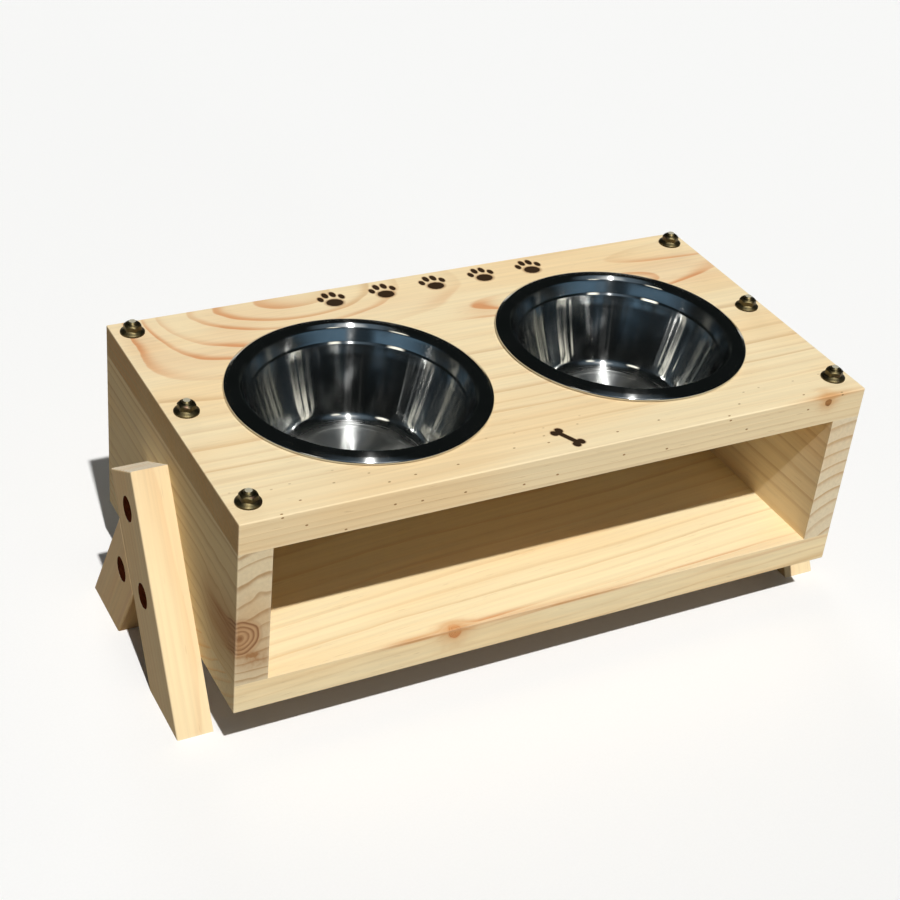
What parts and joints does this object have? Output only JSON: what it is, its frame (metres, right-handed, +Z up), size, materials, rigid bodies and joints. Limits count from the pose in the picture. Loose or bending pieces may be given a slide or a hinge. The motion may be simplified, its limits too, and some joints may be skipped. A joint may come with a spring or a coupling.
{
  "type": "elevated pet feeder",
  "caption": "Raised pine pet feeder: steel bowls hang in the top board over an open-fronted storage bay, on splayed strip legs at each end.",
  "frame": {"origin": "on the floor, under the middle of the case", "axes": "+X along the case to the right seen from the front, open front faces -Y, +Z up"},
  "size_m": [0.432, 0.206, 0.1675],
  "materials": {
    "pine_board": "planed pine boards, clear satin oil",
    "pine_strip": "planed pine strips, clear satin oil",
    "bowl_steel": "pressed stainless steel, mirror polished",
    "yellow_zinc": "yellow passivated zinc on steel",
    "screw_zinc": "bright zinc on steel",
    "cap_brown": "dark red-brown, slight sheen"
  },
  "bodies": {
    "case": {"back_board": "pine_board", "bottom_board": "pine_board", "left_end_board": "pine_board", "left_front_bottom_nut": "yellow_zinc", "left_front_leg": "pine_strip", "left_front_lower_leg_cap": "cap_brown", "left_front_lower_leg_screw": "screw_zinc", "left_front_tie_rod": "yellow_zinc", "left_front_top_nut": "yellow_zinc", "left_front_upper_leg_cap": "cap_brown", "left_front_upper_leg_screw": "screw_zinc", "left_middle_bottom_nut": "yellow_zinc", "left_middle_tie_rod": "yellow_zinc", "left_middle_top_nut": "yellow_zinc", "left_rear_bottom_nut": "yellow_zinc", "left_rear_leg": "pine_strip", "left_rear_leg_cap": "cap_brown", "left_rear_leg_screw": "screw_zinc", "left_rear_tie_rod": "yellow_zinc", "left_rear_top_nut": "yellow_zinc", "right_end_board": "pine_board", "right_front_bottom_nut": "yellow_zinc", "right_front_leg": "pine_strip", "right_front_lower_leg_cap": "cap_brown", "right_front_lower_leg_screw": "screw_zinc", "right_front_tie_rod": "yellow_zinc", "right_front_top_nut": "yellow_zinc", "right_front_upper_leg_cap": "cap_brown", "right_front_upper_leg_screw": "screw_zinc", "right_middle_bottom_nut": "yellow_zinc", "right_middle_tie_rod": "yellow_zinc", "right_middle_top_nut": "yellow_zinc", "right_rear_bottom_nut": "yellow_zinc", "right_rear_leg": "pine_strip", "right_rear_leg_cap": "cap_brown", "right_rear_leg_screw": "screw_zinc", "right_rear_tie_rod": "yellow_zinc", "right_rear_top_nut": "yellow_zinc", "top_board": "pine_board"},
    "left_bowl_body": {"left_bowl": "bowl_steel"},
    "right_bowl_body": {"right_bowl": "bowl_steel"}
  },
  "joints": [
    {"name": "left_bowl_lift", "type": "slide", "parent": "case", "child": "left_bowl_body", "axis": [0, 0, 1], "range_m": [0, 0.08]},
    {"name": "right_bowl_lift", "type": "slide", "parent": "case", "child": "right_bowl_body", "axis": [0, 0, 1], "range_m": [0, 0.08]}
  ]
}
